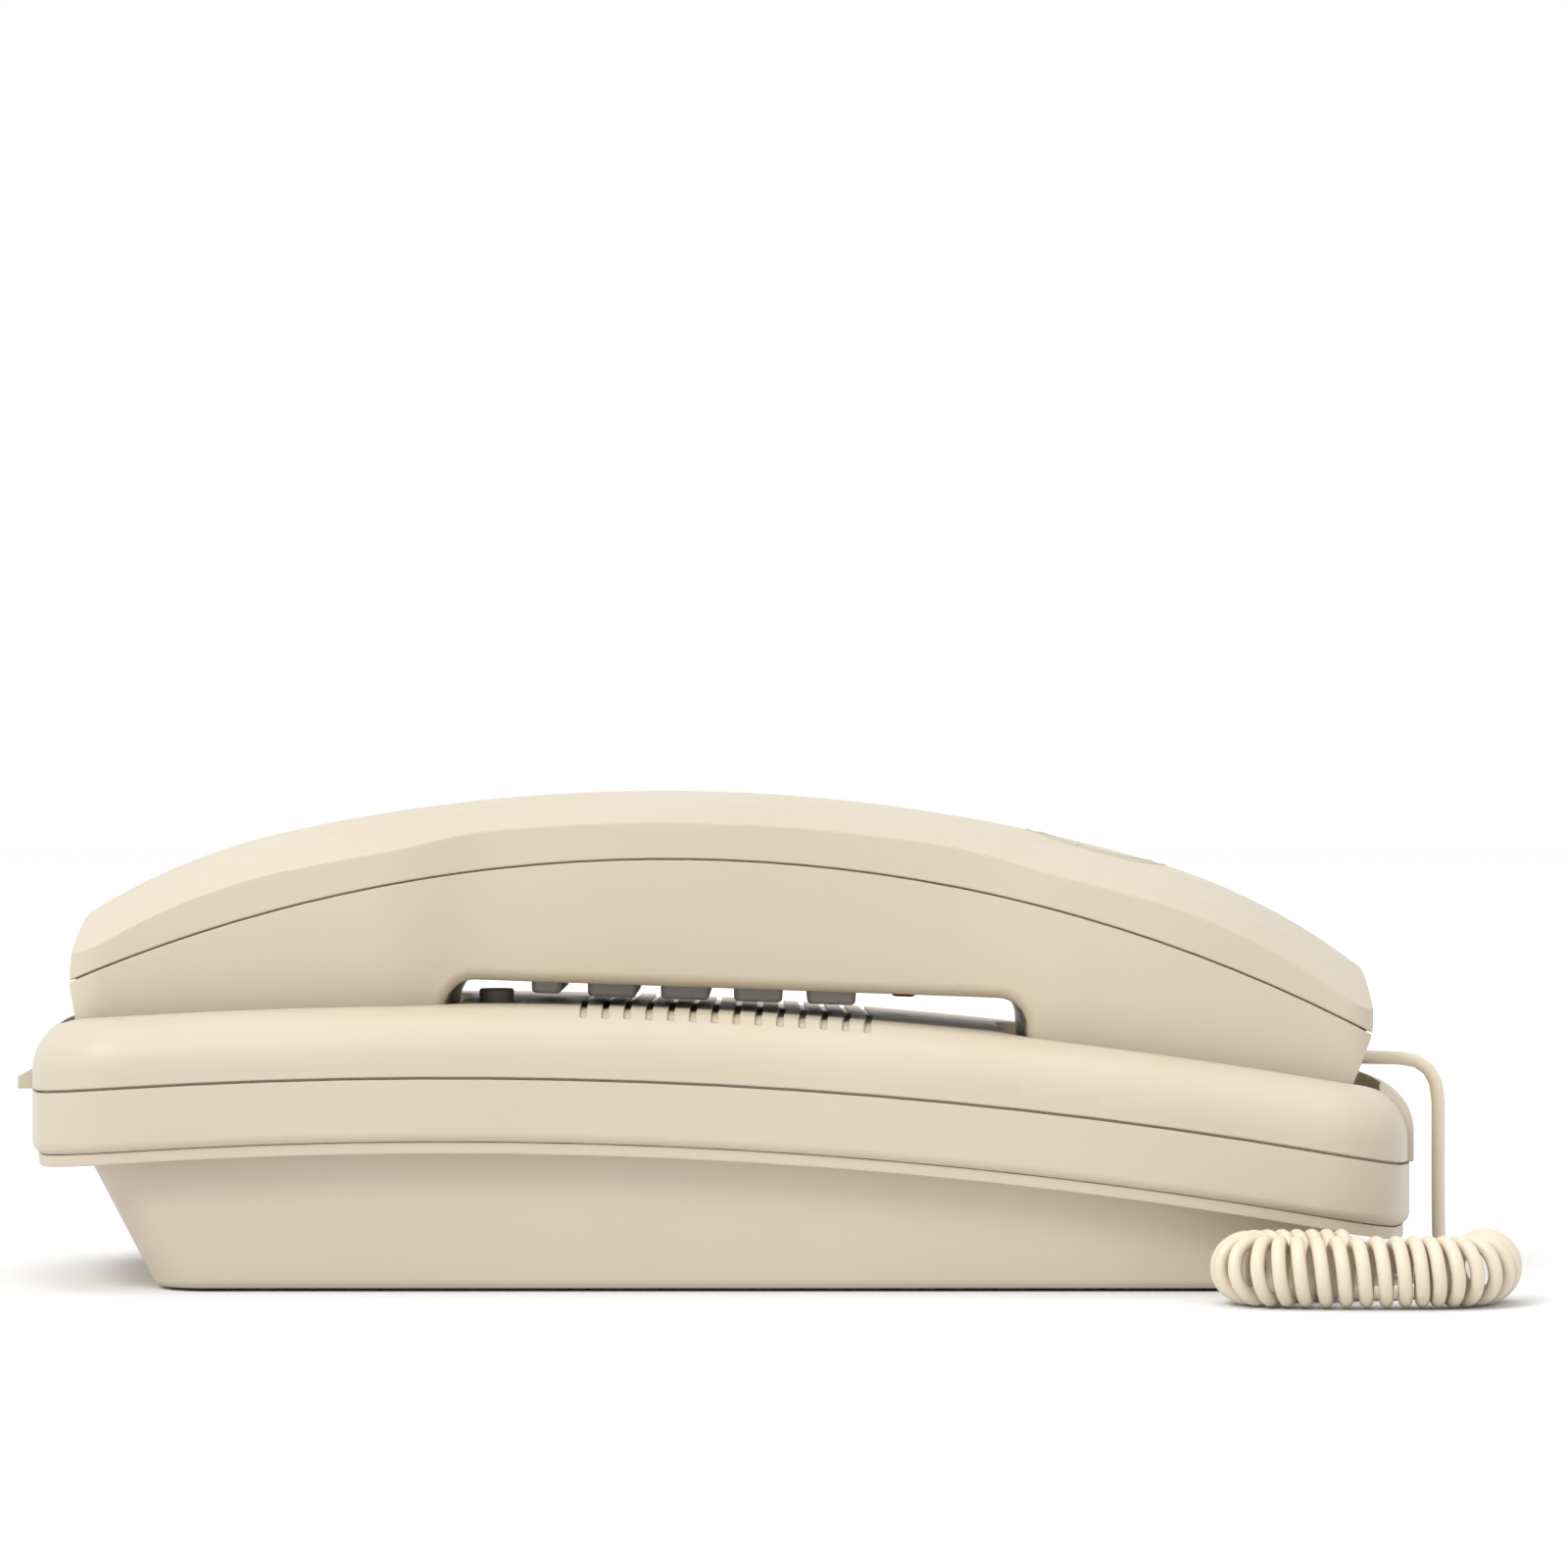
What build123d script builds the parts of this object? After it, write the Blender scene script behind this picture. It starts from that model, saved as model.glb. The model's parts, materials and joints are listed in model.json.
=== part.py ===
from build123d import *
import math
import os

os.makedirs("parts", exist_ok=True)

# Driving dimensions of the base, in mm
LEFT_END = -108.9
RIGHT_END = 111.4
LEFT_CORNER = -102.4
RIGHT_CORNER = 104.8
HALF_WIDTH = 44.0
PLAN_CORNER = 14.0
RIM_ROUND = 8.5
ARC_X = -40.8
ARC_Z = -768.0
R_DECK = 812.2
R_SEAM = 801.5
R_BOTTOM = 791.6
R_LIP = 789.8
SEAM_GAP = 0.4
LIP_INSET = 0.95
LIP = 1.0
PANEL = 0.75
WALL = 2.5
WELL_DEPTH = 7.0
WELL_HALF = 33.0
WELL_CORNER = 13.0
EAR_WELL = (-102.9, -40.0)
MOUTH_WELL = (46.0, 105.6)
STAND_BOTTOM = 0.4
STAND_CORNER = 9.0
SLOT_COUNT = 14
SLOT_PITCH = 3.38
SLOT_FIRST = -19.8
SLOT_WIDTH = 1.05
SLOT_OUT = 39.9
SLOT_IN = 2.0
SLOT_FAN = 0.214
GROOVE = 0.55

# Driving dimensions of the handset
SEAT_X = -7.3
SEAT_Z = -171.0
HANDSET_SEAM = 238.0
TILT = 2.0
GRIP_HALF = 24.7
CUP_HALF = 27.5
CROWN_TOP = 10.7
CROWN_CROSS = 66.0
CROWN_MAIN = 280.0
CROWN_END = 101.0
UNDERSIDE = -20.2
GRIP_EDGE = 2.0
BROW_EDGE = 0.5
SHELL = 2.2
KEY_ROWS = (-16.3, -4.7, 6.9, 18.5)
KEY_COLUMNS = (13.0, 0.0, -13.0)
FUNCTION_ROW = -26.7
FLASH_ROW = 30.2
KEY_LENGTH = 8.0
KEY_WIDTH = 9.6
KEY_DROP = 2.2

# Driving dimensions of the cord
LEAD = 2.2
COIL = 11.0


def save(shape, node):
    shape.label = node
    export_step(shape, f"parts/{node}.step")


def box(x, y, z):
    return Pos(sum(x) / 2, sum(y) / 2, sum(z) / 2) * Box(x[1] - x[0], y[1] - y[0], z[1] - z[0])


def rod(x, y, z, radius):
    return Pos(x, y, sum(z) / 2) * Cylinder(radius, z[1] - z[0])


def block(x, y, z, corner):
    size = RectangleRounded(x[1] - x[0], y[1] - y[0], corner)
    return Pos(sum(x) / 2, sum(y) / 2, z[0]) * extrude(size, z[1] - z[0])


def joined(pieces):
    return Compound(children=list(pieces))


def disc_side(radius):
    return Pos(ARC_X, 0, ARC_Z) * Rot(90, 0, 0) * Cylinder(radius, 200)


def arc_height(radius, x):
    return ARC_Z + math.sqrt(radius ** 2 - (x - ARC_X) ** 2)


def between(low, high):
    slab = Pos(0, 0, 22) * Box(300, 200, 80)
    return slab & (disc_side(high) - disc_side(low))


def plan_face(inset):
    near = -HALF_WIDTH
    far = HALF_WIDTH
    a = (LEFT_CORNER, near)
    b = (RIGHT_CORNER, near)
    c = (RIGHT_CORNER, far)
    d = (LEFT_CORNER, far)
    edges = Line(a, b) + ThreePointArc(b, (RIGHT_END, 0), c) + Line(c, d) + ThreePointArc(d, (LEFT_END, 0), a)
    face = make_face(edges)
    face = fillet(face.vertices(), PLAN_CORNER)
    return offset(face, -inset) if inset else face


def plan(inset):
    return Pos(0, 0, -10) * extrude(plan_face(inset), 100)


def ring_edges(solid, radius, x_low=-200, x_high=200):
    def on_arc(edge):
        points = [edge.position_at(t) for t in (0.1, 0.5, 0.9)]
        rs = [math.hypot(p.X - ARC_X, p.Z - ARC_Z) for p in points]
        xs = [x_low < p.X < x_high for p in points]
        return all(abs(r - radius) < 0.02 for r in rs) and all(xs)

    return [e for e in solid.edges() if on_arc(e)]


# Base shells: one rounded body cut along the seam
base_body = plan(0) & between(R_BOTTOM, R_DECK)
base_body = fillet(ring_edges(base_body, R_DECK), RIM_ROUND)
base_body = fillet(ring_edges(base_body, R_BOTTOM), 1.6)
base_core = plan(WALL) & between(R_BOTTOM + 2.2, R_DECK - WALL)
base_core = fillet(ring_edges(base_core, R_DECK - WALL), RIM_ROUND - WALL)
under_groove = plan(GROOVE) & between(R_BOTTOM, R_DECK - GROOVE)
under_groove = fillet(ring_edges(under_groove, R_DECK - GROOVE), RIM_ROUND - GROOVE)
panel_prism = box((95, 130), (-24, 24), (-10, 60))
panel_grow = Pos(PANEL, 0, PANEL) * base_body
end_panel = (panel_grow & panel_prism) - box((90, 104.4), (-50, 50), (-10, 60))
upper = between(R_SEAM + SEAM_GAP / 2, R_DECK + 12)
lower = between(R_BOTTOM - 5, R_SEAM - SEAM_GAP / 2)


def well(span, grow):
    half = WELL_HALF + grow
    zone = block((span[0] - grow, span[1] + grow), (-half, half), (0, 80), WELL_CORNER + grow)
    return zone & between(R_DECK - WELL_DEPTH - grow, R_DECK + 20)


# Base top shell: hollow cap with two wells, deck openings and screw posts
base_hollow = base_body - base_core
ends_solid = box((-112, -101), (-30, 30), (0, 80)) + box((103, 113), (-30, 30), (0, 80))
ends_solid = ends_solid & between(R_DECK - WELL_DEPTH - 2.2, R_DECK)
ears_grown = well(EAR_WELL, 2.2) + well(MOUTH_WELL, 2.2) + ends_solid
top = (base_hollow & upper) + (ears_grown & base_body & upper)
top = top + (end_panel & upper)
top = top - well(EAR_WELL, 0) - well(MOUTH_WELL, 0)
floor_arc = R_DECK - WELL_DEPTH
ear_pads = [box((x, x + 6), (-14, 14), (0, 60)) for x in (-93, -66)]
mouth_pads = [box((x, x + 6), (-14, 14), (0, 60)) for x in (58, 88)]
pad_zone = between(floor_arc - 1, floor_arc + 1.2)
for pad in ear_pads + mouth_pads:
    top = top + (pad & pad_zone)
post_spots = [(x, y) for x in (-32.0, 40.0) for y in (-36.0, 36.0)]
for x, y in post_spots:
    post = rod(x, y, (arc_height(R_BOTTOM + 3, x), 60), 3.6)
    top = top + (post & between(R_BOTTOM + 3.6, R_DECK - 2))
    top = top - rod(x, y, (0, arc_height(R_DECK, x) - 5), 1.52)
KNOB = (-34.4, -15.0)
HANGER = (-27.9, -15.0)
PLUNGER = (-50.0, 0.0)
top = top - rod(KNOB[0], KNOB[1], (36, 60), 3.45)
top = top - box((HANGER[0] - 1.9, HANGER[0] + 1.9), (HANGER[1] - 4.5, HANGER[1] + 4.5), (38, 60))
top = top - box((PLUNGER[0] - 2.8, PLUNGER[0] + 2.8), (PLUNGER[1] - 4.3, PLUNGER[1] + 4.3), (30, 60))
top = top - box((-107.5, -103.7), (-11, 11), (34, 50)) - box((-106.5, -103.7), (-11, 11), (29, 35))
slot_length = SLOT_OUT - SLOT_IN
slot_x = (-SLOT_WIDTH / 2, SLOT_WIDTH / 2)
slot_groove = box(slot_x, (0, slot_length), (36, 50))
slot_ends = box(slot_x, (0, 0.7), (36, 50)) + box(slot_x, (slot_length - 12, slot_length), (36, 50))
slots = []
for i in range(SLOT_COUNT):
    fan = SLOT_FAN * ((SLOT_COUNT - 1) / 2 - i)
    place = Pos(SLOT_FIRST + i * SLOT_PITCH, -SLOT_OUT, 0) * Rot(0, 0, fan)
    slot = (place * slot_groove - under_groove) + place * slot_ends
    slots += [slot, mirror(slot, about=Plane.XZ)]
top = top - slots
cord_rest = Pos(107, 0, 33.8) * Rot(0, 90, 0) * Cylinder(2.4, 20)
top = top - cord_rest
knob_slot = box((-113, -104.5), (-4.6, 4.6), (29.4, 33.8))
top = top - knob_slot
top = top - ((plan(LIP_INSET - 0.1) - plan(WALL + 0.1)) & between(R_SEAM - 1, R_SEAM + 2.4))
save(top, "base_top_shell")

# Base bottom shell: tray with board posts and counterbored screw holes
bottom = base_hollow & lower
bottom = bottom + ((plan(LIP_INSET) - plan(LIP_INSET + LIP)) & between(R_SEAM - 1, R_SEAM + 1.6))
bottom = bottom - knob_slot
board_spots = [(x, y) for x in (-54.0, 38.0) for y in (-22.0, 22.0)]
BOARD_Z = 27.4
for x, y in board_spots:
    bottom = bottom + rod(x, y, (arc_height(R_BOTTOM + 1, x), BOARD_Z), 3.0)
    bottom = bottom - rod(x, y, (arc_height(R_BOTTOM + 3, x), BOARD_Z), 1.0)
stand_spots = [(x, y) for x in (-70.0, 66.0) for y in (-20.0, 20.0)]
for x, y in stand_spots:
    bottom = bottom + rod(x, y, (arc_height(R_BOTTOM + 0.6, x), arc_height(R_BOTTOM, x) + 5.4), 3.4)
    bottom = bottom - rod(x, y, (0, arc_height(R_BOTTOM, x) + 4.4), 1.52)
for x, y in post_spots:
    pad = rod(x, y, (arc_height(R_BOTTOM, x) + 1, 60), 3.9)
    bottom = bottom + (pad & between(R_BOTTOM + 1, R_BOTTOM + 3.4))
    bottom = bottom - rod(x, y, (0, 40), 1.7)
    bottom = bottom - rod(x, y, (0, arc_height(R_BOTTOM, x) + 1.8), 2.9)
save(bottom, "base_bottom_shell")
rod_screws = []
for x, y in post_spots:
    z = arc_height(R_BOTTOM, x) + 0.5
    rod_screws.append(rod(x, y, (z, z + 1.3), 2.75) + rod(x, y, (z + 1.2, z + 11), 1.5))
save(joined(rod_screws), "housing_screws")

# Desk stand: wedge and flange, open at the top under the tray

def wedge(inset):
    bottom_z = STAND_BOTTOM + inset
    left = -87.0 + inset * 0.6
    right = 92.3 - inset * 0.6
    corner = STAND_CORNER - inset
    low = Pos((left + right) / 2, 0, bottom_z) * RectangleRounded(right - left, 2 * (37.0 - inset), corner)
    left = left - 17.2
    right = right + 26.0
    high = Pos((left + right) / 2, 0, 34) * RectangleRounded(right - left, 2 * (40.5 - inset), corner)
    solid = loft([low, high])
    return fillet(solid.edges().group_by(Axis.Z)[0], 1.6)


stand_block = wedge(0) & disc_side(R_LIP + 0.4)
stand = stand_block + (plan(1.0) & between(R_LIP, R_BOTTOM))
stand = stand - (wedge(2.4) & disc_side(R_BOTTOM + 3))
for x, y in stand_spots:
    seat = arc_height(R_BOTTOM, x) - 6.0
    stand = stand + (rod(x, y, (STAND_BOTTOM + 1, 30), 5.2) & disc_side(R_BOTTOM))
    stand = stand - rod(x, y, (-1, seat), 3.3) - rod(x, y, (0, 40), 1.7)
LINE_JACK_Y = 18.0
LINE_Z = 8.6
CORD_Z = 5.6
stand = stand - box((-110, -84), (LINE_JACK_Y - 6.2, LINE_JACK_Y + 6.2), (LINE_Z - 5.2, LINE_Z + 5.2))
stand = stand - box((81.9, 110), (-5.2, 5.2), (CORD_Z - 4.2, CORD_Z + 4.2))
feet_spots = [(x, y) for x in (-76.0, 80.0) for y in (-28.0, 28.0)]
for x, y in feet_spots:
    stand = stand - rod(x, y, (-1, STAND_BOTTOM + 1.0), 6.0)
for x in (-44.0, 44.0):
    slot = rod(x, 0, (-1, 6), 4.2) + box((x, x + 9), (-2.1, 2.1), (-1, 6))
    stand = stand - slot
save(stand, "desk_stand")
save(joined([rod(x, y, (0, STAND_BOTTOM + 1.0), 5.98) for x, y in feet_spots]), "rubber_feet")
stand_screws = []
for x, y in stand_spots:
    seat = arc_height(R_BOTTOM, x) - 6.0
    stand_screws.append(rod(x, y, (seat - 2.0, seat), 2.8) + rod(x, y, (seat - 0.1, seat + 9.6), 1.5))
save(joined(stand_screws), "stand_screws")
save(box((-30, 30), (-26, 26), (2.82, 6.4)), "ballast_plate")

# Jacks in the stand's two ends
line_jack = box((-92.2, -78), (LINE_JACK_Y - 6.1, LINE_JACK_Y + 6.1), (LINE_Z - 5.1, LINE_Z + 5.1))
line_jack = line_jack - box((-93, -81), (LINE_JACK_Y - 4.8, LINE_JACK_Y + 4.8), (LINE_Z - 3.3, LINE_Z + 3.3))
line_jack = line_jack - box((-93, -83), (LINE_JACK_Y - 1.6, LINE_JACK_Y + 1.6), (LINE_Z - 4.5, LINE_Z - 3.2))
line_jack = line_jack & wedge(0)
save(line_jack, "line_jack")
PLUG_Y = 3.7
PLUG_Z = 3.0
cord_jack = box((82, 94.4), (-5.1, 5.1), (CORD_Z - 4.1, CORD_Z + 4.1))
SOCKET_Y = PLUG_Y + 0.1
SOCKET_Z = PLUG_Z + 0.1
cord_jack = cord_jack - box((84, 96), (-SOCKET_Y, SOCKET_Y), (CORD_Z - SOCKET_Z, CORD_Z + SOCKET_Z))
cord_jack = cord_jack & wedge(0)
save(cord_jack, "cord_jack")
base_plug = box((84.2, 98.5), (-PLUG_Y, PLUG_Y), (CORD_Z - PLUG_Z, CORD_Z + PLUG_Z))
base_plug = chamfer(base_plug.edges().filter_by(Axis.X), 0.6)
save(base_plug, "base_plug")

# Board and what it carries
board = box((-60, 44), (-26, 26), (BOARD_Z, BOARD_Z + 1.6))
for x, y in board_spots:
    board = board - rod(x, y, (20, 40), 1.1)
save(board, "main_board")
BOARD_TOP = BOARD_Z + 1.6
core = box((2, 24), (4, 22), (BOARD_TOP, BOARD_TOP + 1.4))
core = core + box((5, 21), (6, 20), (BOARD_TOP + 1.3, BOARD_TOP + 8))
core = core + box((3, 23), (4.6, 21.4), (BOARD_TOP + 3, BOARD_TOP + 6))
save(core, "transformer")
cap_sizes = [(-24, 14, 9, 4), (-14, 15, 7, 3), (33, -12, 6, 3)]
caps = [rod(x, y, (BOARD_TOP, BOARD_TOP + height), radius) for x, y, height, radius in cap_sizes]
save(joined(caps), "capacitors")
sounder = rod(8, -12, (BOARD_TOP, BOARD_TOP + 5), 10.5) - rod(8, -12, (BOARD_TOP + 3.6, BOARD_TOP + 6), 2.5)
save(sounder, "sounder")
switch_body = box((-56, -44), (-6, 6), (BOARD_TOP, BOARD_TOP + 2.2))
for y in (-2.4, 2.4):
    switch_body = switch_body - rod(PLUNGER[0], y, (BOARD_TOP + 1, BOARD_TOP + 3), 1.25)
save(switch_body, "hook_switch")
SPRING_LOW = BOARD_TOP + 2.2
plunger_floor = arc_height(floor_arc, PLUNGER[0])
hook = box((PLUNGER[0] - 2.4, PLUNGER[0] + 2.4), (-3.9, 3.9), (SPRING_LOW + 1.0, plunger_floor + 1.3))
hook = fillet(hook.edges().filter_by(Axis.Y).group_by(Axis.Z)[-1], 1.2)
hook = hook + box((PLUNGER[0] - 3.6, PLUNGER[0] + 3.6), (-5.2, 5.2), (SPRING_LOW + 0.4, SPRING_LOW + 1.0))
save(hook, "hook_plunger")
spring_spots = [(PLUNGER[0], y) for y in (-2.4, 2.4)]
springs = [rod(x, y, (SPRING_LOW - 1.2, SPRING_LOW + 0.1), 1.2) for x, y in spring_spots]
save(joined(springs), "hook_spring")
pot_top = BOARD_TOP + 5.5
pot = rod(KNOB[0], KNOB[1], (BOARD_TOP, pot_top), 4.6) - rod(KNOB[0], KNOB[1], (BOARD_TOP + 3, 60), 1.54)
save(pot, "volume_pot")
knob_top = arc_height(R_DECK, KNOB[0]) + 2.15
knob = rod(KNOB[0], KNOB[1], (pot_top + 0.5, knob_top), 2.75)
knob = chamfer(knob.edges().group_by(Axis.Z)[-1], 0.25)
knob = knob + rod(KNOB[0], KNOB[1], (BOARD_TOP + 3.4, pot_top + 0.6), 1.5)
save(knob, "volume_knob")
hanger = box((HANGER[0] - 1.55, HANGER[0] + 1.55), (HANGER[1] - 4.15, HANGER[1] + 4.15), (40.6, 43.4))
hanger = hanger + box((HANGER[0] - 1.5, HANGER[0] + 4.0), (HANGER[1] - 4.1, HANGER[1] + 4.1), (40.0, 41.0))
save(hanger, "hanger_clip")

# Rear end: lamp lens, lamp and slide switch
lens = base_body & box((-107.35, -103.85), (-10.85, 10.85), (37.4, 60)) & between(R_DECK - 5.5, R_DECK)
save(lens, "lamp_lens")
lamp = rod(-105.75, 0, (33.4, 36.4), 0.6)
lamp = lamp + box((-106.3, -105.2), (-3, 3), (32.9, 33.5))
save(lamp, "lamp_led")
mode_body = box((-105.8, -98.6), (-8.0, 8.0), (26.6, 32.2)) - box((-107, -102.8), (-5.2, 5.2), (29.4, 31.9))
mode_body = mode_body & disc_side(R_DECK - WELL_DEPTH - 2.4)
save(mode_body, "mode_switch_body")
knob_points = [(-112.15, 29.75), (-109.2, 29.75), (-109.2, 33.4), (-112.15, 31.7)]
mode_knob = extrude(make_face(Plane.XZ * Polyline(*knob_points, close=True)), 2.4, both=True)
mode_knob = mode_knob + box((-109.6, -104.2), (-1.6, 1.6), (30.0, 31.5))
save(mode_knob, "mode_switch_knob")


# Handset, drawn about its own seam apex and then set down on the base
def seat(shape):
    return Pos(SEAT_X, 0, SEAT_Z) * Rot(0, TILT, 0) * Pos(0, 0, HANDSET_SEAM) * shape


def crown(drop, lift=0.0):
    main = CROWN_MAIN
    top_z = CROWN_TOP - drop + lift
    reach = 70.0
    half = math.asin(reach / main)
    start = (reach, 0, top_z - main * (1 - math.cos(half)))
    sweep_angle = math.radians(30)
    cx = start[0] - CROWN_END * math.sin(half)
    cz = start[2] - CROWN_END * math.cos(half)
    mid = half + sweep_angle / 2
    end = half + sweep_angle
    p_mid = (cx + CROWN_END * math.sin(mid), 0, cz + CROWN_END * math.cos(mid))
    p_end = (cx + CROWN_END * math.sin(end), 0, cz + CROWN_END * math.cos(end))
    left = ThreePointArc((-p_end[0], 0, p_end[2]), (-p_mid[0], 0, p_mid[2]), (-start[0], 0, start[2]))
    middle = ThreePointArc((-start[0], 0, start[2]), (0, 0, top_z), start)
    right = ThreePointArc(start, p_mid, p_end)
    path = left + middle + right
    begin = path @ 0
    plane = Plane(origin=begin, x_dir=(0, 1, 0), z_dir=path % 0)
    half_w = 34.0
    sag = CROWN_CROSS - math.sqrt(CROWN_CROSS ** 2 - half_w ** 2)
    up = plane.y_dir.Z > 0
    sign = 1 if up else -1
    a = (-half_w, -sag * sign)
    b = (half_w, -sag * sign)
    c = (half_w, -52 * sign)
    d = (-half_w, -52 * sign)
    section = make_face(plane * (ThreePointArc(a, (0, 0), b) + Line(b, c) + Line(c, d) + Line(d, a)))
    return sweep(section, path=path)


def handset_plan(inset, left=-102.0, right=104.3, corner=5.5):
    e = CUP_HALF
    g = GRIP_HALF
    near = [(right, -e), (54, -e), (40, -g), (-38, -g), (-50, -e), (left, -e)]
    points = near + [(x, -y) for x, y in reversed(near)]
    radii = [corner, 30, 30, 30, 30, corner] * 2
    face = make_face(FilletPolyline(*points, radius=radii, close=True))
    face = offset(face, -inset) if inset else face
    return Pos(0, 0, -60) * extrude(face, 120)


def handset_side(inset):
    points = [
        (-97.9, 30), (-101.55, -22.7), (-99.0, -33.3), (-43.2, -29.2), (-41.6, UNDERSIDE),
        (49.0, UNDERSIDE), (49.9, -30.9), (98.9, -36.4), (103.85, -23.4), (101.0, 30),
    ]
    radii = [0, 12, 3, 3, 4.7, 4.7, 3, 3, 6, 0]
    face = make_face(Plane.XZ * FilletPolyline(*points, radius=radii, close=True))
    face = offset(face, -inset) if inset else face
    return extrude(face, 60, both=True)


def handset_arc(radius):
    return Pos(0, 0, -HANDSET_SEAM) * Rot(90, 0, 0) * Cylinder(radius, 200)


# Both long lower edges rounded, on a body that runs on past the two ends
def rounded_grip():
    far = 130
    points = [
        (-far, 40), (-far, -35.4), (-43.2, -29.2), (-41.6, UNDERSIDE), (49.0, UNDERSIDE), (49.9, -30.9),
        (far, -39.9), (far, 40),
    ]
    side = make_face(Plane.XZ * FilletPolyline(*points, radius=[0, 0, 3, 4.7, 4.7, 3, 0, 0], close=True))
    solid = handset_plan(0, -far, far, 0) & extrude(side, 60, both=True)

    def is_low(edge):
        spots = [edge.position_at(t) for t in (0.1, 0.5, 0.9)]
        return all(abs(p.Y) > 20 and abs(p.X) < far - 0.1 and p.Z < UNDERSIDE + 0.05 for p in spots)

    return fillet([e for e in solid.edges() if is_low(e)], GRIP_EDGE)


def rounded_brow(solid):
    def is_brow(edge):
        middle = edge.position_at(0.5)
        run = abs(edge.position_at(0).X - edge.position_at(1).X)
        return run > 1 and abs(middle.Y) > 24 and middle.Z > UNDERSIDE + GRIP_EDGE + 1

    return fillet([e for e in solid.edges() if is_brow(e)], BROW_EDGE)


def handset_ring(outside, inside, low, high):
    band = handset_plan(outside) & handset_side(outside)
    band = band - (handset_plan(inside) & handset_side(inside))
    return band & (handset_arc(HANDSET_SEAM + high) - handset_arc(HANDSET_SEAM + low))


outer = rounded_brow(rounded_grip() & crown(0)) & handset_plan(0) & handset_side(0)
inner = handset_plan(SHELL) & handset_side(SHELL) & crown(SHELL)
hollow = outer - inner
back = hollow - handset_arc(HANDSET_SEAM + 0.15)
back = back - handset_ring(LIP_INSET - 0.1, SHELL + 0.1, -1.0, 1.7)
front = hollow & handset_arc(HANDSET_SEAM - 0.15)
front = front + handset_ring(LIP_INSET, LIP_INSET + LIP, -1.0, 1.5)

# Handset screws, one post pair each
screw_spots = [(x, y) for x in (-95.0, 92.0) for y in (-17.0, 17.0)]
handset_screws = []
for x, y in screw_spots:
    z = math.sqrt(HANDSET_SEAM ** 2 - x ** 2) - HANDSET_SEAM
    low_post = rod(x, y, (-60, z + 3), 3.5) & handset_arc(HANDSET_SEAM - 0.15) & outer
    high_post = (rod(x, y, (z - 3, 30), 3.0) - handset_arc(HANDSET_SEAM + 0.15)) & crown(1.0)
    front = front + low_post
    front = front - rod(x, y, (-60, z - 3.2), 2.5) - rod(x, y, (-60, 0), 1.35)
    back = back + high_post
    back = back - rod(x, y, (z - 4, z + 7), 1.22)
    handset_screws.append(rod(x, y, (z - 5.2, z - 3.2), 2.3) + rod(x, y, (z - 3.3, z + 6.6), 1.2))
save(seat(joined(handset_screws)), "handset_screws")


# Key field in the handset's inner face
def key_spots():
    spots = []
    names = ["key_1", "key_2", "key_3", "key_4", "key_5", "key_6"]
    names += ["key_7", "key_8", "key_9", "key_star", "key_0", "key_pound"]
    for i, name in enumerate(names):
        x = KEY_ROWS[i // 3]
        y = KEY_COLUMNS[i % 3]
        spots.append((name, x, y, KEY_LENGTH, KEY_DROP))
    for i, name in enumerate(["redial_key", "mute_key", "volume_key"]):
        spots.append((name, FUNCTION_ROW, KEY_COLUMNS[i], 5.0, KEY_DROP - 0.2))
    spots.append(("flash_key", FLASH_ROW, 0.0, 4.2, 1.0))
    return spots


FIELD_X = (-34.0, 38.0)
FIELD_Y = (-19.6, 19.6)
THIN = UNDERSIDE + 1.6
PLATE = 0.7
front = front - box(FIELD_X, FIELD_Y, (THIN, THIN + 3))
front = front - block((FIELD_X[0] + 2, FIELD_X[1] - 2), FIELD_Y, (UNDERSIDE - 1, UNDERSIDE + PLATE), 3)
plate_x = (FIELD_X[0] + 2.1, FIELD_X[1] - 2.1)
plate_y = (FIELD_Y[0] + 0.1, FIELD_Y[1] - 0.1)
dial_plate = block(plate_x, plate_y, (UNDERSIDE + 0.02, UNDERSIDE + PLATE - 0.02), 2.9)
for name, x, y, length, drop in key_spots():
    hole = block((x - length / 2 - 0.35, x + length / 2 + 0.35), (y - 5.15, y + 5.15), (-30, -16), 1.7)
    front = front - hole
    dial_plate = dial_plate - hole
    cap = extrude(RectangleRounded(length, KEY_WIDTH, 1.4), -(drop + 2.2), taper=2.5)
    cap = fillet(cap.edges().group_by(Axis.Z)[0], 0.7)
    key = Pos(x, y, UNDERSIDE + 2.2) * cap
    foot = block((x - length / 2 - 0.7, x + length / 2 + 0.7), (y - 5.6, y + 5.6), (-18.2, -17.5), 1.0)
    save(seat(key + foot), name)
save(seat(dial_plate), "dial_plate")
BOARD_LOW = -14.2
for x in (-34.6, 38.6):
    for y in (-15.0, 15.0):
        front = front + rod(x, y, (UNDERSIDE + 1.5, BOARD_LOW), 1.7)
mat = block((-31.5, 35.5), (-18.5, 18.5), (BOARD_LOW - 1.0, BOARD_LOW), 2)
for name, x, y, length, drop in key_spots():
    mat = mat + rod(x, y, (BOARD_LOW - 2.0, BOARD_LOW - 0.9), 1.7)
save(seat(mat), "key_mat")
save(seat(box((-36.5, 40.5), (-19, 19), (BOARD_LOW, BOARD_LOW + 1.4))), "key_board")
save(seat(box((-22, 26), (-12, 12), (BOARD_LOW + 1.4, BOARD_LOW + 6.4))), "handset_weight")

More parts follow.
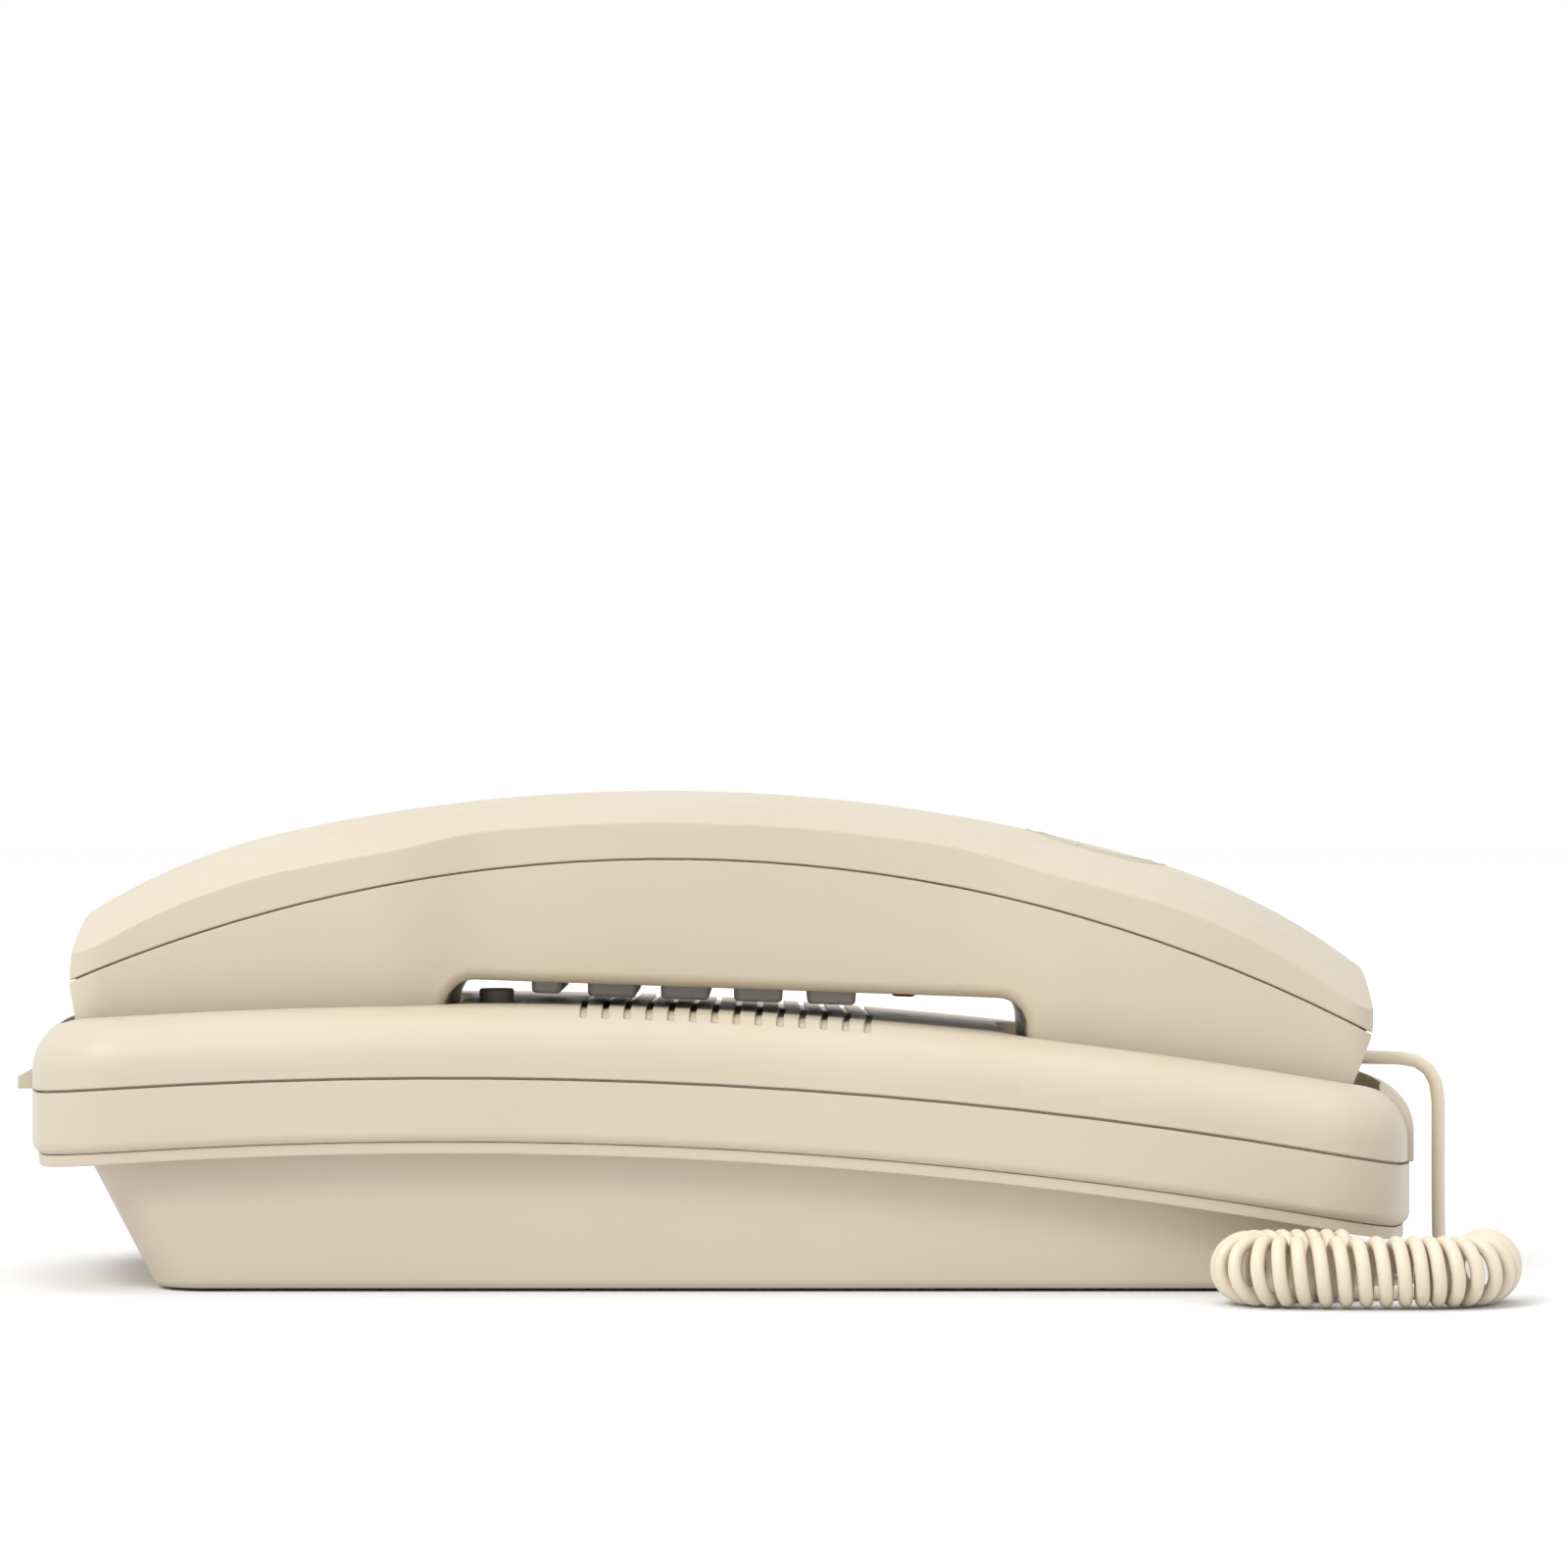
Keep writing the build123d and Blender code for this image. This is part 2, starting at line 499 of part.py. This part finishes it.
# Receiver and microphone behind their holes
ear = Pos(-72, 0, -31.25) * Rot(0, -4.06, 0)
mouth = Pos(75.2, 0, -33.75) * Rot(0, 6.41, 0)
holes = [(0, 0)] + [(6 * math.cos(a), 6 * math.sin(a)) for a in [k * math.pi / 3 for k in range(6)]]
for x, y in holes:
    front = front - ear * rod(x, y, (-1, 4), 1.1)
for y in (-4, 0, 4):
    front = front - mouth * rod(0, y, (-1, 4), 0.8)
gasket = rod(0, 0, (SHELL + 0.02, SHELL + 1.5), 18.5) - rod(0, 0, (0, 9), 15.5)
save(seat(ear * gasket), "receiver_gasket")
receiver = rod(0, 0, (SHELL + 1.5, SHELL + 5), 18.5) + rod(0, 0, (SHELL + 4.9, SHELL + 9), 13)
save(seat(ear * receiver), "receiver")
boot = rod(0, 0, (SHELL + 0.02, SHELL + 7), 7) - rod(0, 0, (SHELL - 1, 12), 5)
save(seat(mouth * boot), "microphone_boot")
save(seat(mouth * rod(0, 0, (SHELL + 1, SHELL + 6.5), 4.95)), "microphone")

# Jack and plug in the mouthpiece end
EXIT_Z = -28.5
PLUG_END = 101.6
front = front - box((95, 110), (-3.95, 3.95), (EXIT_Z - 2.95, EXIT_Z + 2.95))
jack_body = box((85, 98), (-5, 5), (EXIT_Z - 4.0, EXIT_Z + 4.2))
jack_body = jack_body - box((87, 99), (-3.8, 3.8), (EXIT_Z - 2.8, EXIT_Z + 2.8))
front = front - box((84.8, 98.2), (-5.1, 5.1), (EXIT_Z - 4.1, EXIT_Z + 4.3))
save(seat(jack_body), "handset_jack")
plug = box((87.2, PLUG_END), (-3.7, 3.7), (EXIT_Z - 2.7, EXIT_Z + 2.7))
plug = chamfer(plug.edges().filter_by(Axis.X), 0.5)
save(seat(plug), "handset_plug")

# Ring mark let into the crown
RING_X = 60.5
ring = rod(RING_X, 0, (-30, 30), 11.4) - rod(RING_X, 0, (-31, 31), 10.9)
ring = ring + (rod(RING_X, 0, (-30, 30), 9.2) - rod(RING_X, 0, (-31, 31), 8.7))
for k in range(8):
    tick = Pos(RING_X, 0, 0) * Rot(0, 0, 45 * k + 22.5) * box((9.0, 11.0), (-0.25, 0.25), (-30, 30))
    ring = ring + tick
back = back - (ring - crown(0.5) & box((40, 80), (-20, 20), (-30, 30)))
badge = (ring & crown(0, 0.12)) - crown(0.5)
save(seat(badge), "badge_ring")
save(seat(back), "handset_back_shell")
save(seat(front), "handset_front_shell")


# Cord, lying on the floor beside the base
def corner_radii(points, shares):
    radii = []
    for i in range(1, len(points) - 1):
        run_in = Vector(*points[i]) - Vector(*points[i - 1])
        run_out = Vector(*points[i + 1]) - Vector(*points[i])
        turn = math.radians(run_in.get_angle(run_out))
        radii.append(shares[i - 1] * min(run_in.length, run_out.length) / math.tan(turn / 2))
    return radii


def tube(points, radii, radius, name):
    path = FilletPolyline(*points, radius=radii)
    start = Plane(origin=path @ 0, z_dir=path % 0)
    solid = sweep(start * Circle(radius), path=path)
    print(name, "radii", [round(r, 1) for r in radii], "length", round(path.length, 1))
    straight = math.pi * radius ** 2 * path.length
    print(name, "volume over section times length", round(solid.volume / straight, 4))
    return solid


plug_end = seat(Pos(PLUG_END, 0, EXIT_Z) * Sphere(0.5)).center()
FLOOR = LEAD / 2 + 0.05
AXIS = COIL / 2 + 0.05
FAR_Y = -52.0
NEAR_Y = -66.0
TURN_X = 81.3
END_X = 118.3
DROP_X = 116.9
handset_route = [
    (plug_end.X, 0, plug_end.Z), (DROP_X, 0, plug_end.Z - 0.47), (DROP_X, 0, FLOOR),
    (120.0, -18, FLOOR), (118.6, -35, FLOOR), (END_X, -50, FLOOR),
]
base_route = [
    (98.5, 0, CORD_Z), (103.5, -0.4, 4.6), (107.6, -3.6, 2.4), (110.2, -9, FLOOR), (111.0, -19, FLOOR),
    (110.6, -32, FLOOR), (110.9, -43.6, FLOOR), (108.0, -49.1, FLOOR), (103.0, FAR_Y, FLOOR),
    (98.0, FAR_Y, FLOOR),
]
coil_route = [
    (END_X, -50, AXIS), (END_X, NEAR_Y, AXIS), (TURN_X, NEAR_Y, AXIS), (TURN_X, FAR_Y, AXIS),
    (98.0, FAR_Y, AXIS),
]
handset_radii = corner_radii(handset_route, [0.5, 0.45, 0.45, 0.45])
save(tube(handset_route, handset_radii, LEAD / 2, "handset_lead"), "handset_lead")
base_radii = corner_radii(base_route, [0.45] * (len(base_route) - 2))
save(tube(base_route, base_radii, LEAD / 2, "base_lead"), "base_lead")
save(tube(coil_route, [8.0, 6.95, 6.95], COIL / 2, "cord_coil"), "cord_coil")
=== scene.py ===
import json
import math

import bmesh
import bpy
from mathutils import Matrix, Vector


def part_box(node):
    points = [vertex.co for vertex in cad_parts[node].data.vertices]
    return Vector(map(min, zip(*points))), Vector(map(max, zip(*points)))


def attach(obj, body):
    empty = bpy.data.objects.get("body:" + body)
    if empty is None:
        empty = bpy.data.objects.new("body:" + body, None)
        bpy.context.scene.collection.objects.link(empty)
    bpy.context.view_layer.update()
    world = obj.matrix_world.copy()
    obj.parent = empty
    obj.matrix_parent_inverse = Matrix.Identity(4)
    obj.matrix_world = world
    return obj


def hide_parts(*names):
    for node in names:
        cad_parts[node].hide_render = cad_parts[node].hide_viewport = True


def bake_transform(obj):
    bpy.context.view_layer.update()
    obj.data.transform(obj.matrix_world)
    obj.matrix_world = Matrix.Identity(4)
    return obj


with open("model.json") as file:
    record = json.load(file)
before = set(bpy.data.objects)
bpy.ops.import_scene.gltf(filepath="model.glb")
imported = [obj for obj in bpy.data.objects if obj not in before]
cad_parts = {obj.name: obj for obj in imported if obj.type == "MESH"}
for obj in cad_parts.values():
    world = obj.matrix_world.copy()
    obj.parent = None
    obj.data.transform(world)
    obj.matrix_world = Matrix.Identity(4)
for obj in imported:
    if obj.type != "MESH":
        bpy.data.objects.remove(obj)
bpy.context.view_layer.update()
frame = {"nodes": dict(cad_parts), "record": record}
NODES = frame["nodes"]
MM = 0.001

# Camera, level and square to the phone's long side
CAMERA_PLACE = (0.01125, -0.944, 0.0788)
CAMERA_LENS = 134.2
SENSOR_WIDTH = 36

# Cord, the same route as the CAD solids, in metres
CORD = 0.0022
FLOOR = 0.00115
COIL_AXIS = 0.00555
DROP_X = 0.1169
COIL_RADIUS = 0.0044
POINTS_PER_TURN = 14
LEAD_ROUTE = [
    (0.1016, 0, 0.0348), (0.1045, 0, 0.0347), (DROP_X, 0, 0.0344), (DROP_X, 0, 0.0207), (DROP_X, 0, 0.009),
    (0.1171, -0.0008, FLOOR), (0.1200, -0.018, FLOOR), (0.1186, -0.035, FLOOR), (0.1183, -0.047, FLOOR),
]
COIL_ROUTE = [
    (0.1183, -0.050), (0.1183, -0.0595), (0.1135, -0.0658), (0.1020, -0.0662), (0.0890, -0.0660),
    (0.0822, -0.0640), (0.0808, -0.0590), (0.0822, -0.0541), (0.0885, -0.0520), (0.0980, -0.0520),
]
BASE_ROUTE = [
    (0.1010, -0.0520, FLOOR), (0.1045, -0.0518, FLOOR), (0.1080, -0.0491, FLOOR), (0.1109, -0.0436, FLOOR),
    (0.1106, -0.032, FLOOR), (0.1110, -0.019, FLOOR), (0.1102, -0.009, FLOOR), (0.1076, -0.0036, 0.0024),
    (0.1035, -0.0004, 0.0046), (0.0985, 0, 0.0056),
]

# The coil's turns stand a little open between these shares of its length
OPEN_FROM = 0.30
OPEN_TO = 0.62
OPEN_EASE = 0.08
TIGHT_PITCH = 0.00228
OPEN_PITCH = 0.0030

# Characters on the dial keys
MARKS = {"key_star": "*", "key_pound": "#"}
MARK_SIZE = 0.0056
MARK_DEPTH = 0.00006
MARK_RISE = 0.00012
HANDSET_TILT = 2

# Contact wires of the line socket, in mm from its low corner
WIRES = 4
WIRE_PITCH = 1.02
WIRE_STEPS = 9
WIRE_START = 2.2
WIRE_TOP = 2.9
WIRE_FALL = 0.32
WIRE_RADIUS = 0.00022
WIRE_STRETCH = (3.2, 1, 1)

# Floor
FLOOR_SIZE = 12
FLOOR_DROP = 0.00005


def add_camera():
    data = bpy.data.cameras.new("camera")
    data.lens = CAMERA_LENS
    data.sensor_width = SENSOR_WIDTH
    camera = bpy.data.objects.new("camera", data)
    camera.location = CAMERA_PLACE
    camera.rotation_euler = (math.radians(90), 0, 0)
    bpy.context.scene.collection.objects.link(camera)
    bpy.context.scene.camera = camera


def nurbs(name, points, thickness=0.0, resolution=8):
    data = bpy.data.curves.new(name, "CURVE")
    data.dimensions = "3D"
    data.bevel_depth = thickness / 2
    data.bevel_resolution = 5
    data.use_fill_caps = True
    spline = data.splines.new("NURBS")
    spline.points.add(len(points) - 1)
    for spot, point in zip(spline.points, points):
        spot.co = (*point, 1)
    spline.order_u = 3
    spline.use_endpoint_u = True
    spline.resolution_u = resolution
    return bpy.data.objects.new(name, data)


def line_of(curve):
    mesh = bpy.data.meshes.new_from_object(curve)
    points = [v.co.copy() for v in mesh.vertices]
    bpy.data.meshes.remove(mesh)
    return points


def coil_points():
    axis = line_of(nurbs("coil_axis", [(x, y, COIL_AXIS) for x, y in COIL_ROUTE], resolution=24))
    along = [0.0]
    for a, b in zip(axis, axis[1:]):
        along.append(along[-1] + (b - a).length)
    total = along[-1]
    points = []
    angle = math.pi
    place = 0.0
    step = 2 * math.pi / POINTS_PER_TURN
    index = 0
    while place < total:
        while along[index + 1] < place:
            index += 1
        share = (place - along[index]) / (along[index + 1] - along[index])
        centre = axis[index].lerp(axis[index + 1], share)
        tangent = (axis[index + 1] - axis[index]).normalized()
        side = tangent.cross(Vector((0, 0, 1)))
        points.append(centre + COIL_RADIUS * (math.cos(angle) * Vector((0, 0, 1)) + math.sin(angle) * side))
        part = place / total
        opening = min(max((part - OPEN_FROM) / OPEN_EASE, 0), 1)
        opening = opening * min(max((OPEN_TO - part) / OPEN_EASE, 0), 1)
        pitch = TIGHT_PITCH + (OPEN_PITCH - TIGHT_PITCH) * opening
        place += pitch / POINTS_PER_TURN
        angle += step
    return points


def add_cord():
    coil = coil_points()
    last_turn = range(len(coil) - POINTS_PER_TURN, len(coil))
    lowest = min(last_turn, key=lambda i: coil[i].z)
    control = LEAD_ROUTE + [tuple(p) for p in coil[: lowest + 1]] + BASE_ROUTE
    curve = nurbs("cord_curve", control, CORD, resolution=4)
    mesh = bpy.data.meshes.new_from_object(curve)
    cord = bpy.data.objects.new("handset_cord", mesh)
    bpy.context.scene.collection.objects.link(cord)
    for polygon in mesh.polygons:
        polygon.use_smooth = True
    curve.data.bevel_depth = 0
    path = line_of(curve)
    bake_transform(cord)
    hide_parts("handset_lead", "cord_coil", "base_lead")
    return cord


add_camera()
cord = add_cord()


# Materials, all from nodes
class Shader:
    """A principled shader with small helpers for its texture nodes."""

    def __init__(self, name, roughness=0.45, metallic=0.0, specular=0.5):
        self.material = bpy.data.materials.new(name)
        self.material.use_nodes = True
        self.tree = self.material.node_tree
        self.out = self.tree.nodes["Principled BSDF"]
        self.out.inputs["Roughness"].default_value = roughness
        self.out.inputs["Metallic"].default_value = metallic
        self.out.inputs["Specular IOR Level"].default_value = specular
        self.place = self.tree.nodes.new("ShaderNodeTexCoord").outputs["Object"]

    def link(self, a, b):
        self.tree.links.new(a, b)

    def node(self, kind, **settings):
        node = self.tree.nodes.new(kind)
        for key, value in settings.items():
            setattr(node, key, value)
        return node

    def noise(self, scale, detail=3.0, stretch=None):
        node = self.node("ShaderNodeTexNoise")
        node.inputs["Scale"].default_value = scale
        node.inputs["Detail"].default_value = detail
        if stretch:
            mapping = self.node("ShaderNodeMapping")
            mapping.inputs["Scale"].default_value = stretch
            self.link(self.place, mapping.inputs["Vector"])
            self.link(mapping.outputs["Vector"], node.inputs["Vector"])
        else:
            self.link(self.place, node.inputs["Vector"])
        return node.outputs["Fac"]

    def ramp(self, source, low, high, start=0.35, end=0.65):
        node = self.node("ShaderNodeValToRGB")
        node.color_ramp.elements[0].position = start
        node.color_ramp.elements[0].color = (*low, 1)
        node.color_ramp.elements[1].position = end
        node.color_ramp.elements[1].color = (*high, 1)
        self.link(source, node.inputs["Fac"])
        return node.outputs["Color"]

    def mix(self, first, second, share):
        node = self.node("ShaderNodeMix", data_type="RGBA")
        self.link(share, node.inputs["Factor"])
        self.link(first, node.inputs["A"])
        self.link(second, node.inputs["B"])
        return node.outputs["Result"]

    def span(self, source, low, high, start=0.3, end=0.7):
        node = self.node("ShaderNodeMapRange")
        node.inputs["From Min"].default_value = start
        node.inputs["From Max"].default_value = end
        node.inputs["To Min"].default_value = low
        node.inputs["To Max"].default_value = high
        self.link(source, node.inputs["Value"])
        return node.outputs["Result"]

    def bump(self, source, strength, distance, under=None):
        node = self.node("ShaderNodeBump")
        node.inputs["Strength"].default_value = strength
        node.inputs["Distance"].default_value = distance
        self.link(source, node.inputs["Height"])
        if under:
            self.link(under, node.inputs["Normal"])
        return node.outputs["Normal"]

    def rounded(self, radius):
        node = self.node("ShaderNodeBevel", samples=6)
        node.inputs["Radius"].default_value = radius
        return node.outputs["Normal"]


def shade(colour, factor):
    return tuple(c * factor for c in colour)


def plastic(name, colour, rough, grain=0.15, vary=0.04, round_edge=0.0004):
    s = Shader(name, roughness=rough, specular=0.4)
    broad = s.ramp(s.noise(14, 2), shade(colour, 1 - vary), shade(colour, 1 + vary * 0.5))
    aged = (colour[0] * 0.97, colour[1] * 0.93, colour[2] * 0.84)
    blotch = s.ramp(s.noise(38, 4), (0, 0, 0), (0.35, 0.35, 0.35), 0.5, 0.75)
    old = s.node("ShaderNodeRGB")
    old.outputs[0].default_value = (*aged, 1)
    s.link(s.mix(broad, old.outputs[0], blotch), s.out.inputs["Base Color"])
    s.link(s.span(s.noise(220, 5), rough - 0.06, rough + 0.07), s.out.inputs["Roughness"])
    edge = s.rounded(round_edge)
    fine = s.bump(s.noise(2600, 2), grain, 0.00006, edge)
    sink = s.bump(s.noise(60, 1), 0.05, 0.0004, fine)
    s.link(sink, s.out.inputs["Normal"])
    return s.material


def metal(name, colour, rough, stretch):
    s = Shader(name, roughness=rough, metallic=1.0)
    tone = s.ramp(s.noise(300, 3, stretch), shade(colour, 0.85), shade(colour, 1.08))
    s.link(tone, s.out.inputs["Base Color"])
    s.link(s.span(s.noise(700, 2, stretch), rough - 0.08, rough + 0.1), s.out.inputs["Roughness"])
    s.link(s.bump(s.noise(900, 2, stretch), 0.2, 0.00004), s.out.inputs["Normal"])
    return s.material


def rubber(name, colour):
    s = Shader(name, roughness=0.8, specular=0.3)
    s.link(s.ramp(s.noise(120, 4), shade(colour, 0.7), shade(colour, 1.5)), s.out.inputs["Base Color"])
    s.link(s.bump(s.noise(1500, 3), 0.4, 0.0001), s.out.inputs["Normal"])
    return s.material


def board(name):
    s = Shader(name, roughness=0.35)
    tracks = s.node("ShaderNodeTexVoronoi", feature="DISTANCE_TO_EDGE")
    tracks.inputs["Scale"].default_value = 260
    s.link(s.place, tracks.inputs["Vector"])
    green = s.ramp(tracks.outputs["Distance"], (0.09, 0.3, 0.14), (0.02, 0.13, 0.06), 0.02, 0.06)
    s.link(green, s.out.inputs["Base Color"])
    s.link(s.bump(tracks.outputs["Distance"], 0.3, 0.00005), s.out.inputs["Normal"])
    return s.material


def lens(name):
    s = Shader(name, roughness=0.18)
    s.link(s.ramp(s.noise(90, 2), (0.22, 0.008, 0.012), (0.30, 0.015, 0.02)), s.out.inputs["Base Color"])
    ribs = s.node("ShaderNodeTexWave", bands_direction="Y")
    ribs.inputs["Scale"].default_value = 320
    s.link(s.place, ribs.inputs["Vector"])
    s.link(s.bump(ribs.outputs["Fac"], 0.25, 0.0001), s.out.inputs["Normal"])
    s.out.inputs["Coat Weight"].default_value = 0.6
    return s.material


def winding(name):
    s = Shader(name, roughness=0.35, metallic=0.7)
    wire = s.node("ShaderNodeTexWave", bands_direction="Z")
    wire.inputs["Scale"].default_value = 900
    s.link(s.place, wire.inputs["Vector"])
    s.link(s.ramp(wire.outputs["Fac"], (0.2, 0.07, 0.03), (0.62, 0.28, 0.12)), s.out.inputs["Base Color"])
    s.link(s.bump(wire.outputs["Fac"], 0.6, 0.0002), s.out.inputs["Normal"])
    return s.material


CREAM = (0.535, 0.470, 0.365)
MATERIALS = {
    "shell_cream": plastic("cream_shell", CREAM, 0.42),
    "cord_cream": plastic("cream_cord", (0.68, 0.60, 0.47), 0.36, 0.08, 0.03, 0.0001),
    "plug_clear": plastic("cream_plug", (0.58, 0.51, 0.40), 0.3, 0.05, 0.02, 0.0002),
    "key_grey": plastic("grey_key", (0.37, 0.365, 0.355), 0.45, 0.15, 0.04),
    "key_red": plastic("red_key", (0.30, 0.012, 0.014), 0.35, 0.1, 0.05),
    "plate_grey": plastic("grey_plate", (0.60, 0.56, 0.49), 0.4, 0.2, 0.03, 0.0002),
    "knob_dark": plastic("dark_knob", (0.115, 0.108, 0.088), 0.45, 0.15, 0.08, 0.0002),
    "black_plastic": plastic("black_part", (0.02, 0.02, 0.021), 0.4, 0.2, 0.1, 0.0002),
    "rubber_dark": rubber("dark_rubber", (0.03, 0.03, 0.03)),
    "steel": metal("zinc_steel", (0.62, 0.62, 0.63), 0.32, (1, 1, 6)),
    "iron": metal("bare_iron", (0.22, 0.21, 0.2), 0.5, (4, 1, 1)),
    "board_green": board("green_board"),
    "copper": winding("copper_winding"),
    "lens_red": lens("red_lens"),
}
SLOTS = {s["node"]: s["material_slot"] for s in frame["record"]["subparts"]}


def paint(piece, slot):
    piece.data.materials.clear()
    piece.data.materials.append(MATERIALS[slot])


for name, node in NODES.items():
    paint(node, SLOTS[name])
paint(cord, "cord_cream")


# Characters on the dial keys, thin raised faces on each key's outer side
def add_mark(node, text):
    low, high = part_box(node)
    data = bpy.data.curves.new(node + "_mark", "FONT")
    data.body = text
    data.size = MARK_SIZE
    data.align_x = "CENTER"
    data.align_y = "CENTER"
    data.extrude = MARK_DEPTH
    shape = bpy.data.objects.new(node + "_text", data)
    mesh = bpy.data.meshes.new_from_object(shape)
    mark = bpy.data.objects.new(node + "_mark", mesh)
    mark.rotation_euler = (math.radians(180 - HANDSET_TILT), 0, math.radians(-90))
    mark.location = ((low.x + high.x) / 2, (low.y + high.y) / 2, low.z + MARK_RISE)
    bpy.context.scene.collection.objects.link(mark)
    paint(mark, "shell_cream")
    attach(mark, node + "_body")


for name in NODES:
    if name.startswith("key_") and (name[4:].isdigit() or name in MARKS):
        add_mark(name, MARKS.get(name, name[4:]))


# Contact wires in the line socket
def at(place, stretch):
    return Matrix.Translation(place) @ Matrix.Diagonal((*stretch, 1))


def add_contacts():
    low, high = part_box("line_jack")
    middle = (low + high) / 2
    mesh = bpy.data.meshes.new("line_contacts")
    shape = bmesh.new()
    for k in range(WIRES):
        y = middle.y + (k - (WIRES - 1) / 2) * WIRE_PITCH * MM
        for x in range(WIRE_STEPS):
            bend = Vector((low.x + (WIRE_START + x) * MM, y, middle.z + (WIRE_TOP - WIRE_FALL * x) * MM))
            bead = at(bend, WIRE_STRETCH)
            bmesh.ops.create_icosphere(shape, subdivisions=2, radius=WIRE_RADIUS, matrix=bead)
    shape.to_mesh(mesh)
    shape.free()
    piece = bpy.data.objects.new("line_contacts", mesh)
    bpy.context.scene.collection.objects.link(piece)
    paint(piece, "copper")
    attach(piece, "base")


add_contacts()


# Floor and soft studio light
def add_floor():
    bpy.ops.mesh.primitive_plane_add(size=FLOOR_SIZE, location=(0, 0, -FLOOR_DROP))
    floor = bpy.context.object
    floor.name = "floor"
    s = Shader("pale_floor", roughness=0.9, specular=0.1)
    reach = s.node("ShaderNodeVectorMath", operation="LENGTH")
    s.link(s.place, reach.inputs[0])
    # Painted shade: the floor's colour runs from darker near the phone to paler far off, so the lit floor
    # looks evenly white while it bounces less light onto the phone.
    tone = s.ramp(reach.outputs["Value"], (0.78, 0.78, 0.78), (0.99, 0.99, 0.99), 0.25, 1.0)
    s.link(tone, s.out.inputs["Base Color"])
    floor.data.materials.append(s.material)


def add_light(name, place, size, power, target):
    data = bpy.data.lights.new(name, "AREA")
    data.shape = "RECTANGLE"
    data.size, data.size_y = size
    data.energy = power
    light = bpy.data.objects.new(name, data)
    light.location = place
    aim = Vector(target) - Vector(place)
    light.rotation_euler = aim.to_track_quat("-Z", "Y").to_euler()
    bpy.context.scene.collection.objects.link(light)


add_floor()
add_light("overhead", (-0.1, -0.1, 1.3), (0.9, 0.7), 3.5, (0, 0, 0.03))
add_light("front_left", (-0.9, -1.2, 1.5), (0.7, 0.7), 21, (0, 0, 0.03))
world = bpy.data.worlds.new("studio")
world.use_nodes = True
world.node_tree.nodes["Background"].inputs["Color"].default_value = (1, 1, 1, 1)
world.node_tree.nodes["Background"].inputs["Strength"].default_value = 1.0
bpy.context.scene.world = world
bpy.context.scene.view_settings.view_transform = "Standard"
